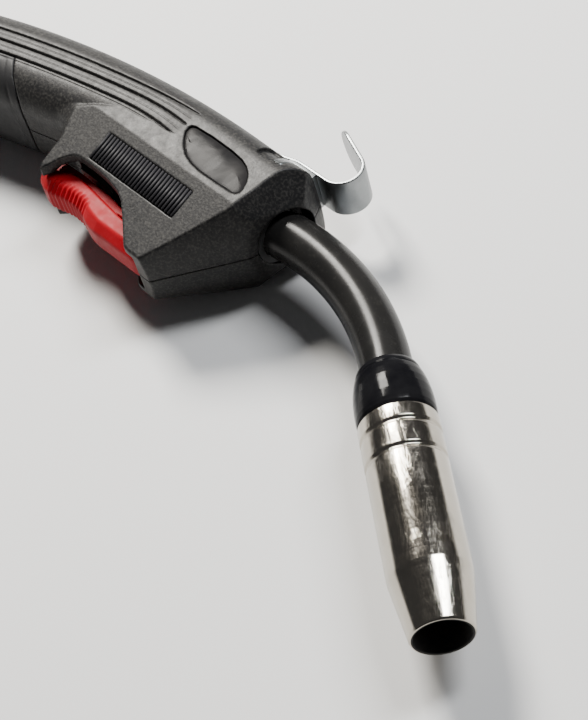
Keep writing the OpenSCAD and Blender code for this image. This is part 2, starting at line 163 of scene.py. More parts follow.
def project(f, V, n):
    """Moves the vertices onto f = 0 in n short steps along its slope."""
    h = 0.01
    for _ in range(n):
        x, y, z = V.T
        d = f(x, y, z)
        g = np.stack([f(x + h, y, z) - f(x - h, y, z), f(x, y + h, z) - f(x, y - h, z),
                      f(x, y, z + h) - f(x, y, z - h)], 1) / (2 * h)
        g2 = np.maximum((g * g).sum(1), 0.2)
        mv = np.clip(d / g2, -0.25, 0.25)[:, None] * g
        V = V - mv
    return V


def mesh(name, V, Q, off=OFF):
    me = bpy.data.meshes.new(name)
    V = (np.asarray(V, float) + off) * MM
    me.from_pydata(V.tolist(), [], [tuple(q) for q in Q.tolist()] if isinstance(Q, np.ndarray) else Q)
    me.validate()
    me.update()
    me.polygons.foreach_set("use_smooth", np.ones(len(me.polygons), bool))
    o = bpy.data.objects.new(name, me)
    bpy.context.scene.collection.objects.link(o)
    return o


def fix_normals(o):
    bm = bmesh.new()
    bm.from_mesh(o.data)
    bmesh.ops.recalc_face_normals(bm, faces=bm.faces)
    bm.to_mesh(o.data)
    bm.free()
    return o


def loft(rings, m):
    """Faces of a closed skin over rings of m points each, with both ends capped."""
    sides = [(i * m + j, i * m + (j + 1) % m, (i + 1) * m + (j + 1) % m, (i + 1) * m + j)
             for i in range(rings - 1) for j in range(m)]
    return sides + [tuple(range(m)), tuple(range((rings - 1) * m, rings * m))]


def join(parts):
    V, Q = [], []
    for v, q in parts:
        o = len(V)
        V += list(v)
        Q += [tuple(i + o for i in f) for f in q]
    return V, Q


def lathe(name, prof, steps, seg):
    """Turned piece about its own Z axis; prof is a closed list of (r, z, corner radius) in mm."""
    prof = np.array(rounded([p[:2] for p in prof], [p[2] for p in prof], steps), float)
    n = len(prof)
    a = np.linspace(0, 2 * math.pi, seg, endpoint=False)
    V = np.stack([np.outer(np.cos(a), prof[:, 0]), np.outer(np.sin(a), prof[:, 0]),
                  np.tile(prof[:, 1], (seg, 1))], -1).reshape(-1, 3)
    Q = []
    for i in range(seg):
        i2 = (i + 1) % seg
        for j in range(n):
            j2 = (j + 1) % n
            Q.append((i * n + j, i2 * n + j, i2 * n + j2, i * n + j2))
    return fix_normals(mesh(name, V, Q, off=0))


def rounded(pts, r, seg):
    """Rounds the corners of a closed polyline; r is one radius or one per point."""
    out = []
    n = len(pts)
    rr = [r] * n if np.isscalar(r) else r
    for i in range(n):
        p = np.array(pts[i], float)
        a = np.array(pts[i - 1], float) - p
        b = np.array(pts[(i + 1) % n], float) - p
        la, lb = np.linalg.norm(a), np.linalg.norm(b)
        a, b = a / la, b / lb
        c = np.clip(a @ b, -1, 1)
        half = math.acos(c) / 2
        if half > math.radians(88.5):            # nearly straight
            out.append(p)
            continue
        t = min(rr[i] / math.tan(half), la * 0.48, lb * 0.48)
        for k in range(seg + 1):
            u = k / seg
            out.append(p + a * t * (1 - u) ** 2 + b * t * u ** 2)
    return [tuple(v) for v in out]


def axis_matrix(origin2, ang):
    """Frame of a turned piece whose axis starts at origin2 and points at ang in the handle's plane."""
    o = (np.array([origin2[0], origin2[1], 0]) + OFF) * MM
    z = Vector((math.cos(ang), math.sin(ang), 0))
    x = Vector((0, 0, 1))
    y = z.cross(x)
    m = Matrix((x, y, z)).transposed().to_4x4()
    m.translation = Vector(o)
    return m


HEAD = axis_matrix(BE, A_OUT)         # frame of the insulator and the nozzle

# ---------------------------------------------------------------- materials


class Mat:
    """A principled material built from object coordinates, in metres."""

    def __init__(self, name):
        self.m = bpy.data.materials.new(name)
        self.m.use_nodes = True
        self.t = self.m.node_tree
        self.t.nodes.clear()
        self.out = self.n("ShaderNodeOutputMaterial")
        self.p = self.n("ShaderNodeBsdfPrincipled")
        self.t.links.new(self.p.outputs[0], self.out.inputs[0])
        self.co = self.n("ShaderNodeTexCoord").outputs["Object"]
        self.height = None

    def n(self, kind, **kw):
        node = self.t.nodes.new(kind)
        for k, v in kw.items():
            if k in node.inputs:
                self.set(node.inputs[k], v)
            else:
                setattr(node, k, v)
        return node

    def set(self, sock, v):
        if isinstance(v, bpy.types.NodeSocket):
            self.t.links.new(v, sock)
        else:
            sock.default_value = v

    def scaled(self, s):
        return self.n("ShaderNodeMapping", Vector=self.co, Scale=s).outputs[0]

    def noise(self, scale, detail=3.0, rough=0.5, vec=None, dist=0.0):
        return self.n("ShaderNodeTexNoise", Vector=vec or self.co, Scale=scale, Detail=detail,
                      Roughness=rough, Distortion=dist).outputs["Fac"]

    def voro(self, scale):
        return self.n("ShaderNodeTexVoronoi", Vector=self.co, Scale=scale).outputs["Distance"]

    def ramp(self, fac, stops):
        r = self.n("ShaderNodeValToRGB", Fac=fac)
        e = r.color_ramp.elements
        while len(e) < len(stops):
            e.new(0.5)
        for i, (pos, c) in enumerate(stops):
            e[i].position = pos
            e[i].color = (c, c, c, 1) if np.isscalar(c) else (*c, 1)
        return r.outputs[0]

    def math(self, op, a, b=0.0):
        m = self.n("ShaderNodeMath", operation=op)
        self.set(m.inputs[0], a)
        self.set(m.inputs[1], b)
        return m.outputs[0]

    def add_scaled(self, a, b, k):
        return self.math("ADD", a, self.math("MULTIPLY", b, k))

    def mix(self, fac, a, b):
        m = self.n("ShaderNodeMix", data_type="RGBA")
        self.set(m.inputs[0], fac)
        self.set(m.inputs[6], a if isinstance(a, bpy.types.NodeSocket) else (*a, 1))
        self.set(m.inputs[7], b if isinstance(b, bpy.types.NodeSocket) else (*b, 1))
        return m.outputs[2]

    def bump(self, height, strength, dist, prev=None):
        b = self.n("ShaderNodeBump", Height=height, Strength=strength, Distance=dist)
        if prev is not None:
            self.t.links.new(prev, b.inputs["Normal"])
        return b.outputs[0]

    def finish(self, color, rough, normal=None, **kw):
        p = self.p.inputs
        self.set(p["Base Color"], color)
        self.set(p["Roughness"], rough)
        if normal is not None:
            self.t.links.new(normal, p["Normal"])
        for k, v in kw.items():
            p[k.replace("_", " ")].default_value = v
        return self.m


def shell_plastic():
    m = Mat("shell_plastic")
    big = m.noise(45, 4, 0.55)
    mid = m.noise(420, 3, 0.6)
    spark = m.noise(1500, 3, 0.6)
    pit = m.voro(1700)
    base = m.ramp(big, [(0.3, (0.008, 0.008, 0.009)), (0.7, (0.012, 0.0115, 0.0115))])
    speck = m.ramp(spark, [(0.46, 0.0), (0.66, 1.0)])
    base = m.mix(m.math("MULTIPLY", speck, 0.6), base, (0.052, 0.050, 0.046))
    rough = m.ramp(mid, [(0.25, 0.40), (0.75, 0.54)])
    n = m.bump(spark, 0.32, 0.00012)
    n = m.bump(pit, 0.16, 0.00010, n)
    n = m.bump(mid, 0.10, 0.00016, n)
    return m.finish(base, rough, n, Specular_IOR_Level=0.20)


def soft_grip():
    m = Mat("soft_grip")
    big = m.noise(60, 4, 0.55)
    fine = m.noise(1500, 3, 0.6)
    base = m.ramp(big, [(0.3, (0.010, 0.010, 0.011)), (0.7, (0.016, 0.016, 0.017))])
    rough = m.ramp(m.noise(300, 3), [(0.3, 0.48), (0.7, 0.62)])
    n = m.bump(fine, 0.22, 0.00008)
    return m.finish(base, rough, n, Specular_IOR_Level=0.25)


def badge_gloss():
    m = Mat("badge_gloss")
    base = m.ramp(m.noise(120, 4), [(0.3, (0.010, 0.010, 0.011)), (0.7, (0.020, 0.019, 0.019))])
    streak = m.noise(160, 5, 0.6, m.scaled((1, 0.35, 1)), 1.2)
    rough = m.ramp(streak, [(0.3, 0.14), (0.7, 0.34)])
    n = m.bump(m.noise(95, 2, 0.4), 0.5, 0.0009)
    return m.finish(base, rough, n, Specular_IOR_Level=0.022)


def trigger_red():
    m = Mat("trigger_red")
    base = m.ramp(m.noise(90, 4), [(0.3, (0.24, 0.004, 0.008)), (0.7, (0.31, 0.005, 0.012))])
    dust = m.ramp(m.noise(1500, 3, 0.65), [(0.52, 0.0), (0.8, 1.0)])
    base = m.mix(m.math("MULTIPLY", dust, 0.12), base, (0.50, 0.08, 0.08))
    rough = m.ramp(m.noise(380, 3), [(0.3, 0.40), (0.7, 0.54)])
    n = m.bump(m.noise(1900, 2), 0.16, 0.00008)
    return m.finish(base, rough, n, Specular_IOR_Level=0.07)


def rubber(name, lo, hi, r0, r1, spec=0.45):
    m = Mat(name)
    base = m.ramp(m.noise(70, 4), [(0.3, lo), (0.7, hi)])
    rough = m.ramp(m.noise(260, 4), [(0.3, r0), (0.7, r1)])
    n = m.bump(m.noise(1300, 3), 0.15, 0.00008)
    return m.finish(base, rough, n, Specular_IOR_Level=spec)


def neck_black():
    m = Mat("neck_black")
    base = m.ramp(m.noise(60, 4), [(0.3, (0.008, 0.008, 0.008)), (0.7, (0.014, 0.0135, 0.013))])
    dust = m.ramp(m.noise(700, 4, 0.7), [(0.56, 0.0), (0.8, 1.0)])
    base = m.mix(m.math("MULTIPLY", dust, 0.25), base, (0.06, 0.056, 0.05))
    rough = m.ramp(m.noise(180, 5, 0.6), [(0.3, 0.20), (0.7, 0.30)])
    n = m.bump(m.noise(900, 3), 0.10, 0.00008)
    n = m.bump(m.noise(90, 2), 0.10, 0.0006, n)
    return m.finish(base, rough, n, Specular_IOR_Level=0.14)


def insulator_black():
    m = Mat("insulator_black")
    base = m.ramp(m.noise(150, 4), [(0.3, (0.004, 0.004, 0.005)), (0.7, (0.010, 0.010, 0.011))])
    rough = m.ramp(m.noise(420, 4), [(0.3, 0.08), (0.7, 0.18)])
    n = m.bump(m.noise(260, 3), 0.12, 0.0003)
    return m.finish(base, rough, n, Specular_IOR_Level=0.05)


def metal(name, lo, hi, r0, r1, scratch=0.0, fine=900):
    m = Mat(name)
    base = m.ramp(m.noise(80, 4, 0.6), [(0.3, lo), (0.7, hi)])
    rough = m.ramp(m.noise(60, 5, 0.65), [(0.28, r0), (0.75, r1)])
    n = m.bump(m.noise(fine, 3, 0.6), 0.10, 0.00006)
    if scratch:
        s = m.noise(34, 6, 0.75, m.scaled((9, 9, 1.2)), 2.0)
        line = m.ramp(s, [(0.485, 0.0), (0.50, 1.0), (0.515, 0.0)])
        n = m.bump(line, scratch, 0.00006, n)
        rough = m.add_scaled(rough, line, 0.12)
    return m.finish(base, rough, n, Metallic=1.0)


def nozzle_nickel():
    m = Mat("nozzle_nickel")
    warm = [(0.3, (0.38, 0.35, 0.30)), (0.55, (0.47, 0.435, 0.375)), (0.75, (0.40, 0.355, 0.28))]
    base = m.ramp(m.noise(55, 4, 0.6), warm)
    ring = m.noise(60, 4, 0.6, m.scaled((1, 1, 34)))
    rough = m.ramp(ring, [(0.3, 0.07), (0.7, 0.13)])
    s = m.noise(30, 6, 0.8, m.scaled((14, 14, 1.6)), 2.5)
    line = m.ramp(s, [(0.48, 0.0), (0.50, 1.0), (0.52, 0.0)])
    spot = m.ramp(m.voro(330), [(0.0, 1.0), (0.11, 0.0)])
    patch = m.ramp(m.noise(38, 5, 0.7), [(0.46, 0.0), (0.60, 1.0)])
    rough = m.add_scaled(m.add_scaled(rough, line, 0.12), patch, 0.07)
    n = m.bump(ring, 0.06, 0.00008)
    n = m.bump(m.math("MULTIPLY", line, patch), 0.16, 0.00006, n)
    n = m.bump(spot, 0.10, 0.00008, n)
    n = m.bump(m.noise(520, 3, 0.6), 0.05, 0.0001, n)
    # dark, rough, non-metallic face inside the bore, whose radius narrows towards the mouth
    sep = m.n("ShaderNodeSeparateXYZ")
    m.t.links.new(m.co, sep.inputs[0])
    x, y, z = sep.outputs
    rad = m.math("SQRT", m.math("ADD", m.math("MULTIPLY", x, x), m.math("MULTIPLY", y, y)))
    wider = m.math("MAXIMUM", m.math("MULTIPLY", m.math("SUBTRACT", 0.065, z), 0.25), 0.0)
    inside = m.math("LESS_THAN", rad, m.math("ADD", 0.00645, m.math("MINIMUM", wider, 0.0011)))
    bore_dark = m.ramp(m.noise(700, 4, 0.7), [(0.3, (0.004, 0.004, 0.004)), (0.75, (0.020, 0.017, 0.015))])
    base = m.mix(inside, base, bore_dark)
    rough = m.math("MAXIMUM", rough, m.math("MULTIPLY", inside, 0.75))
    m.set(m.p.inputs["Metallic"], m.math("SUBTRACT", 1.0, inside))
    return m.finish(base, rough, n)


MATS = {
    "shell_plastic": shell_plastic(),
    "soft_grip": soft_grip(),
    "badge_gloss": badge_gloss(),
    "grille_dark": rubber("grille_dark", (0.012, 0.012, 0.014), (0.020, 0.019, 0.022), 0.5, 0.65, 0.16),
    "trigger_red": trigger_red(),
    "pin_steel": metal("pin_steel", (0.55, 0.55, 0.57), (0.68, 0.68, 0.70), 0.25, 0.42),
    "switch_body": rubber("switch_body", (0.05, 0.045, 0.04), (0.09, 0.08, 0.07), 0.5, 0.65),
    "switch_red": rubber("switch_red", (0.5, 0.05, 0.04), (0.65, 0.08, 0.06), 0.25, 0.4),
    "brass": metal("brass", (0.62, 0.44, 0.17), (0.76, 0.57, 0.28), 0.22, 0.42),
    "copper": metal("copper", (0.62, 0.33, 0.19), (0.78, 0.45, 0.28), 0.25, 0.45),
    "neck_black": neck_black(),
    "seal_black": rubber("seal_black", (0.010, 0.010, 0.010), (0.018, 0.018, 0.018), 0.6, 0.8),
    "liner_steel": metal("liner_steel", (0.5, 0.5, 0.52), (0.62, 0.62, 0.64), 0.3, 0.45),
    "insulator_black": insulator_black(),
    "nozzle_nickel": nozzle_nickel(),
    "hook_zinc": metal("hook_zinc", (0.19, 0.203, 0.208), (0.29, 0.303, 0.308), 0.28, 0.44, 0.08, 600),
    "screw_black": metal("screw_black", (0.05, 0.05, 0.055), (0.10, 0.10, 0.105), 0.35, 0.5),
    "collar_black": rubber("collar_black", (0.014, 0.014, 0.015), (0.024, 0.024, 0.025), 0.5, 0.68),
}


def dress(o, mat, body, node=None):
    """Gives a piece its material and body, and hides the CAD node it stands for."""
    o.data.materials.clear()
    o.data.materials.append(MATS[mat])
    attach(o, body)
    if node:
        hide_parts(node)
    return o


# ---------------------------------------------------------------- camera
cam_d = bpy.data.cameras.new("cam")
cam_d.lens = 97.84
cam_d.sensor_width = 36
cam = bpy.data.objects.new("cam", cam_d)
bpy.context.scene.collection.objects.link(cam)
right_dir = Vector((0.6594, 0.7251, -0.1981))
up_dir = Vector((-0.4977, 0.6187, 0.6078))
view_dir = Vector((-0.5630, 0.3020, -0.7693))
pose = Matrix((right_dir, up_dir, -view_dir)).transposed().to_4x4()
pose.translation = Vector((0.30224, -0.14713, 0.34864))
cam.matrix_world = pose
bpy.context.scene.camera = cam

# ---------------------------------------------------------------- handle shells
# outlines seen from the side: soft pad, trigger slot, lower housing and badge
PAD = [(-75.9, -5.5), (-71.2, -10.6), (-67, -13.6), (-62, -18), (-62, -40),
       (-140, -70), (-143, -32), (-123, -23), (-100, -12.4)]
SLOT = [(-44.2, -40), (-44.2, -24.1), (-43.3, -22.6), (-42.4, -21.2), (-41.5, -19.7), (-40.2, -18.3),
        (-38.6, -17.1), (-36.8, -16.6), (-33.1, -16.5), (-29.3, -16.6), (-25.1, -17.0), (-20.9, -17.8),
        (-17.9, -19.2), (-14.8, -21.6), (-8.8, -26.7), (-7.6, -27.6), (-7.6, -40)]
HOUSE = [(-49.3, 4), (-49.3, -7.2), (-45.9, -15.6), (-45.6, -22.3), (-45.1, -23.8), (-44.3, -24.6),
         (-38, -25.2), (-6, -27.3), (-1.5, -27.3), (30, -27.3), (30, 4)]
BADGE = [(-18.6, 4.6), (-18.2, 5.3), (-17.2, 5.7), (-11, 5.95), (-4, 5.75), (0, 5.3), (2.6, 4.5),
         (4.6, 3.2), (6.2, 1.3), (7.3, -0.9), (7.4, -1.9), (6.9, -2.7), (5.9, -3.1), (1, -3.3),
         (-5.5, -3.3), (-9, -2.9), (-12.2, -1.9), (-14.9, -0.3), (-17, 1.6), (-18.3, 3.3)]


def back(x, y):
    """Signed height above the back: the long arc with a second, tighter arc swelling out of it."""
    long_arc = np.hypot(x - ARC[0], y - ARC[1]) - R_BACK
    swell = np.hypot(x - CROWN[0], y - CROWN[1]) - CROWN[2]
    return smin(long_arc, swell, 0.5)


def corner(a, b, radius):
    """Distance to a rounded corner, from the distances past the lines through its centre."""
    return np.hypot(np.maximum(a, 0), np.maximum(b, 0)) + np.minimum(np.maximum(a, b), 0) - radius


def band(r, z, top):
    """Section of the curved handle, rounded towards the back and towards the fingers."""
    upper = corner(top + TOP_ROUND, z - (HALF_W - TOP_ROUND), TOP_ROUND)
    lower = corner(R_GRIP + LOW_ROUND - r, z - (HALF_W - LOW_ROUND), LOW_ROUND)
    return np.maximum(upper, lower)


def lands(r, z, x):
    """Crowned lands high on the side, parted by three fine grooves that end behind the badge."""
    fade = step(-19.4, -20.6, x)
    soft = step(-19.0, -27.0, x)
    t = np.clip((x + 39.0) / 19.0, 0, 1) ** 2
    g3, g2, g1 = 419.1 - 1.9 * t, 422.75 - 1.4 * t, 426.0 - 0.4 * t
    d = 0.0
    for lo, hi, h in ((g2, g1, 0.20), (g3, g2, 0.22)):
        u = np.clip((r - lo) / (hi - lo), 0, 1)
        d = d - h * np.sin(math.pi * u) ** 0.75 * soft
        d = d + 0.10 * np.exp(-((r - (lo + hi) / 2) / 0.20) ** 2) * fade
    d = d + 0.12 * np.exp(-((r - g3 + 1.15) / 0.20) ** 2) * fade
    d = d - 0.14 * step(g1, g1 + 0.7, r) * step(g1 + 3.4, g1 + 1.2, r) * soft
    for g, dep, w in ((g1, 0.50, 0.21), (g2, 0.60, 0.24), (g3, 0.60, 0.24)):
        d = d + dep * np.exp(-((r - g) / w) ** 2) * fade
    return d * step(9.5, 12.5, z)


def body_outer(x, y, z):
    """Outside of one half, without what is cut into it."""
    dx, dy = ARC[0] - x, y - ARC[1]
    r = np.hypot(dx, dy)
    th = np.arctan2(dx, dy)
    s = (th - SWEEP) * r
    d = band(r, z, back(x, y)) + lands(r, z, x)
    # lower housing with its tapered, slightly raised flanks
    flank = np.maximum(z - FLANK_W, (z - FLANK_W + (FLANK_Y - y) * SLOPE) / math.hypot(1, SLOPE))
    house = smax(flank, poly(x, y, HOUSE), 0.55)
    house = smax(house, plane(x, y, -49.3, -7.2, -0.55, 0.84), 1.6)
    recess = step(-44.0, -50.0, x) * step(419.0, 413.0, r) * step(14.4, 10.5, z)
    house = smax(house, r - 417.6 - 40.0 * step(-20.0, -10.0, x), 0.25)
    d = smax(smin(d, house, 0.07 + 7.0 * recess), z - 14.96, 0.03)
    # nose: crowned front, rounded top, slanted quads at the sides
    front = plane(x, y, 6.7, -15.9, 0.818, -0.575) + 0.0185 * z * z
    face = plane(x, y, 15.3, 4.0, 0.977, -0.214) + 0.010 * z * z
    top1 = plane(x, y, 13.9, 14.2, 0.60, 0.80) + 0.004 * z * z
    top2 = plane(x, y, 15.3, 11.0, 0.894, 0.447) + 0.008 * z * z
    nose = smax(smax(front, face, 0.4), smax(top1, top2, 1.0), 0.5)
    cham = (x - 10.3) * 0.787 - (y - 11.3) * 0.070 + (z - 14.7) * 0.613
    nose = smax(nose, cham, 0.18)
    d = smax(d, nose, 0.30)
    return smax(d, s, 0.8)


def side_cuts(x, y, z):
    """Everything cut into one half from outside, positive where material stays."""
    c = -poly(x, y, SLOT) + 0.0 * z
    chan = smax(smax(np.abs(x + 34.0) - 28.5, y + 14.3, 0.5), z - 5.6, 0.4)
    c = smax(c, -chan, 0.25)
    b = smax(poly(x, y, BADGE) - 0.02, 13.78 - z, 0.25)
    c = smax(c, -b, 0.2)
    g = smax(np.maximum(np.abs(x - GRILLE_X) - GRILLE_L, np.abs(y - GRILLE_Y) - GRILLE_H),
             13.95 - (FLANK_Y - y) * SLOPE - z, 0.15)
    c = smax(c, -g, 0.15)
    # nose bore round the neck
    rb = np.hypot(x - BC[0], y - BC[1]) - BEND_R
    bore = smax(np.hypot(rb, z) - 7.72, 4.5 - x, 0.5)
    c = smax(c, -bore, 0.35)
    return c


def pad_zone(x, y, grow):
    r = np.hypot(x - ARC[0], y - ARC[1])
    return np.maximum(poly(x, y, PAD), r - 419.0) - grow


def hollow(x, y, z, outer):
    """Space inside one half, less the screw posts and neck clamps, with the neck's seat and switch pocket."""
    cav = outer + WALL
    for sx, sy, _ in SCREWS:
        cav = np.maximum(cav, -(np.hypot(x - sx, y - sy) - 2.9))
    ca, sa = math.cos(A_IN), math.sin(A_IN)
    u = (x - B0[0]) * ca + (y - B0[1]) * sa
    v = -(x - B0[0]) * sa + (y - B0[1]) * ca
    for clamp in (-7.8, -29.8):
        cav = np.maximum(cav, -(np.abs(u - clamp) - 1.2))
    neck = smin(np.maximum(np.hypot(v, z) - 6.03, np.abs(u + 9.5) - 9.6),
                np.maximum(np.hypot(v, z) - 6.53, np.abs(u + 26) - 7.0), 0.1)
    switch = np.maximum(np.maximum(np.abs(x + 35.1) - 6.7, np.abs(y + 12.7) - 3.7), z - 2.95)
    return np.minimum(np.minimum(cav, neck), switch)


def rear_bore(x, y, z):
    depth = -(x - REAR[0]) * math.cos(SWEEP) - (y - REAR[1]) * math.sin(SWEEP)
    across = (x - REAR[0]) * -math.sin(SWEEP) + (y - REAR[1]) * math.cos(SWEEP)
    return np.maximum(np.hypot(across, z) - 8.4, -9.2 - depth)


def hook_groove(x, y, outer):
    """Shallow groove for the hook's band."""
    dx, dy = ARC[0] - x, y - ARC[1]
    th = np.degrees(np.arctan2(dx, dy))
    g = np.maximum(np.abs(th - BAND_DEG) * np.hypot(dx, dy) * math.pi / 180 - 1.45, 9.9 - y)
    return np.maximum(g, -(outer + 1.12))


def hook_tab(x, y, z, outer):
    """Small sunk field round the corner beside the groove."""
    r = np.hypot(ARC[0] - x, y - ARC[1])
    u = TOP_ROUND * np.arctan2(z - (HALF_W - TOP_ROUND), r - (R_BACK - TOP_ROUND))
    tab = smax(np.abs(x - 3.3) - 3.0, np.abs(u - 7.1) - 3.15, 1.5)
    return np.maximum(np.maximum(tab, 8.0 - z), -(outer + 0.8))


def shell_fn(left):
    def f(x, y, z):
        outer = body_outer(x, y, z)
        d = smax(outer, -hollow(x, y, z, outer), 0.3)
        d = smax(d, side_cuts(x, y, z), 0.25)
        d = smax(d, -np.maximum(pad_zone(x, y, 0.0), -(outer + 1.6)), 0.22)
        d = np.maximum(d, -rear_bore(x, y, z))
        d = smax(d, -hook_groove(x, y, outer), 0.2)
        d = smax(d, -hook_tab(x, y, z, outer), 0.15)
        for sx, sy, head in SCREWS:
            rs = np.hypot(x - sx, y - sy)
            d = np.maximum(d, -(rs - 1.75) if left else -np.maximum(rs - 1.55, z - 9.2))
            if left:
                d = smax(d, -np.maximum(rs - 2.85, head - 1.9 - z), 0.25)
        return smax(d, 0.03 - z, 0.22)
    return f


def spaced(*runs):
    """Grid values over runs of (start, end, step)."""
    out = []
    for a, b, h in runs:
        out += list(np.linspace(a, b, max(2, int(round(abs(b - a) / h)) + 1))[:-1])
    out.append(runs[-1][1])
    return np.array(out)


COARSE = 1.0


def curved_grid(th, r, z):
    """Grid bent along the handle."""
    T, R, Z = np.meshgrid(th, r, z, indexing="ij")
    return np.stack([ARC[0] - R * np.sin(T), ARC[1] + R * np.cos(T), Z], -1)


SHELL_GRID = curved_grid(
    np.radians(spaced((0.55, 9.6, 0.054 * COARSE), (9.6, 23.5, 0.075 * COARSE))),
    spaced((386.6, 400, 0.40 * COARSE), (400, 416.5, 0.36 * COARSE), (416.5, 427.2, 0.17 * COARSE),
           (427.2, 434.6, 0.30 * COARSE)),
    spaced((-0.2, 9.0, 0.42 * COARSE), (9.0, 15.5, 0.21 * COARSE)))


def thin(f):
    """Lets f work on one layer of the grid where only z changes, to save time."""
    def g(x, y, z):
        if x.ndim == 3:
            return np.broadcast_to(f(x[:, :, :1], y[:, :, :1], z[:1, :1, :]), x.shape).copy()
        return f(x, y, z)
    return g


V, Q = nets(thin(shell_fn(False)), SHELL_GRID)
right = mesh("right_shell_moulded", V, Q)
dress(right, "shell_plastic", "torch", node="right_shell")
V, Q = nets(thin(shell_fn(True)), SHELL_GRID)
V[:, 2] *= -1
left = mesh("left_shell_moulded", V, Q[:, ::-1])
dress(left, "shell_plastic", "torch", node="left_shell")


def pad_fn(x, y, z):
    outer = body_outer(x, y, np.abs(z))
    d = smax(outer - 0.02, pad_zone(x, y, -0.16), 0.30)
    d = smax(d, -(outer + 1.45), 0.15)
    rear_end = (np.arctan2(ARC[0] - x, y - ARC[1]) - math.radians(22.6)) * 410
    # second fine line behind the front edge
    line = np.abs(poly(x, y, PAD) + 2.6)
    d = d + 0.16 * np.exp(-(line / 0.28) ** 2) * step(-80, -77, x)
    return smax(d, rear_end, 0.3)


V, Q = nets(thin(pad_fn), curved_grid(
    np.radians(spaced((11.3, 22.8, 0.06 * COARSE))),
    spaced((408.9, 419.4, 0.34 * COARSE)),
    spaced((-15.3, -9, 0.34 * COARSE), (-9, 9, 0.6 * COARSE), (9, 15.3, 0.34 * COARSE))))
pad = mesh("grip_pad_moulded", V, Q)
dress(pad, "soft_grip", "torch", node="grip_pad")

# ---------------------------------------------------------------- badges and grille
BADGE_MID = np.array((-5.6, 1.3))
# rings of the badge's domed face: distance in from its edge, and height
BADGE_RINGS = ((0.10, 13.9), (0.10, 14.16), (0.2, 14.24), (0.5, 14.30),
               (1.1, 14.37), (2.0, 14.44), (3.2, 14.49), (4.3, 14.51))
RIB = [(-0.34, -0.9), (-0.34, -0.10), (-0.27, -0.02), (0, 0.0), (0.27, -0.02), (0.34, -0.10), (0.34, -0.9)]


def badge_plate(side):
    edge = np.array(rounded(BADGE, 0.9, 4))
    V = []
    for inset, height in BADGE_RINGS:
        k = np.array((1 - inset / 13, 1 - inset / 4.6))
        V += [(p[0], p[1], height * side) for p in BADGE_MID + (edge - BADGE_MID) * k]
    return V, loft(len(BADGE_RINGS), len(edge))


def grille_ribs(side):
    """Rounded bars across the recessed floor of the grille."""
    reach = 3.72 * math.cos(math.atan(SLOPE))
    bars = []
    for i in range(RIBS):
        cx = -34.05 + i * RIB_PITCH
        V = []
        for y in (GRILLE_Y - reach, GRILLE_Y + reach):
            top = 14.86 - (FLANK_Y - y) * SLOPE
            V += [(cx + px, y, (top + pz) * side) for px, pz in RIB]
        bars.append((V, loft(2, len(RIB))))
    return join(bars)


for side, tag in ((1, "right"), (-1, "left")):
    o = fix_normals(mesh("badge_plate_" + tag, *badge_plate(side)))
    dress(o, "badge_gloss", "torch", node="badge_" + tag)
    o = fix_normals(mesh("grille_ribs_" + tag, *grille_ribs(side)))
    dress(o, "grille_dark", "torch")

# ---------------------------------------------------------------- trigger
# outline from the side, line of its lower edge, and the inner skirts beside the switch
TRIG = [(-47.3, -24.1), (-46.7, -24.8), (-44.4, -25.7), (-42.2, -26.0), (-39.9, -25.7), (-37.8, -25.1),
        (-35.5, -24.8), (-33.2, -24.75), (-31, -24.95), (-28.8, -25.5), (-26.6, -26.2), (-24.6, -26.75),
        (-22.4, -26.95), (-19.5, -26.9), (-13.1, -26.85), (-8.2, -26.85), (-6.1, -26.2), (-6.1, -21.1),
        (-14, -20.8), (-20, -20.4), (-27.7, -19.6), (-37, -18.5), (-39.5, -18.6), (-43, -20.3),
        (-46.6, -20.8), (-47.3, -21.4)]
TRIG_LOW = [(-53.6, -21.5), (-49.4, -23.8), (-44.4, -25.7), (-42.2, -26.1), (-39.9, -25.7), (-35.5, -24.8),
            (-31, -24.95), (-26.6, -26.2), (-22.4, -27), (-13, -26.85), (-6, -26.8)]
SKIRT = [(-46.6, -21), (-46.6, -18.4), (-45.4, -17.5), (-38, -17.2), (-26, -17.6), (-17, -19), (-15, -20)]
TRIG_W = 5.0                          # half width


def trig_fn(x, y, z):
    a = np.abs(z)
    low = np.interp(x, *zip(*TRIG_LOW))
    cham = (a - TRIG_W + (low + 2.3 - y)) / math.sqrt(2)
    d = smax(smax(poly(x, y, TRIG), a - TRIG_W, 0.7), cham, 0.5)
    # grip ribs across the hollow of the finger rest
    hollow_x = step(-43.4, -41.5, x) * step(-27.6, -29.5, x)
    rib = 0.5 - 0.5 * np.cos((x + 43.0) * 2 * math.pi / 1.45)
    near_low = step(1.6, 0.3, y - low - np.maximum(a - 2.7, 0))
    d = d + 0.34 * (1 - rib) * hollow_x * near_low
    # ledge along the top of the side faces
    d = smax(d, -np.maximum(a - 3.3, -(y + 19.5)), 0.12)
    d = smin(d, smax(poly(x, y, SKIRT), np.abs(a - 3.85) - 0.5, 0.15), 0.12)
    return smax(d, -(np.hypot(x - PIVOT[0], y - PIVOT[1]) - 1.56), 0.15)


tx = spaced((-48.0, -44, 0.26 * COARSE), (-44, -27, 0.17 * COARSE), (-27, -5.2, 0.30 * COARSE))
ty = spaced((-27.8, -16.9, 0.22 * COARSE))
tz = spaced((-5.4, -2, 0.26 * COARSE), (-2, 2, 0.5 * COARSE), (2, 5.4, 0.26 * COARSE))
V, Q = nets(trig_fn, np.stack(np.meshgrid(tx, ty, tz, indexing="ij"), -1))
trigger = mesh("trigger_moulded", V, Q)
dress(trigger, "trigger_red", "trigger", node="trigger")

# ---------------------------------------------------------------- neck, insulator, nozzle


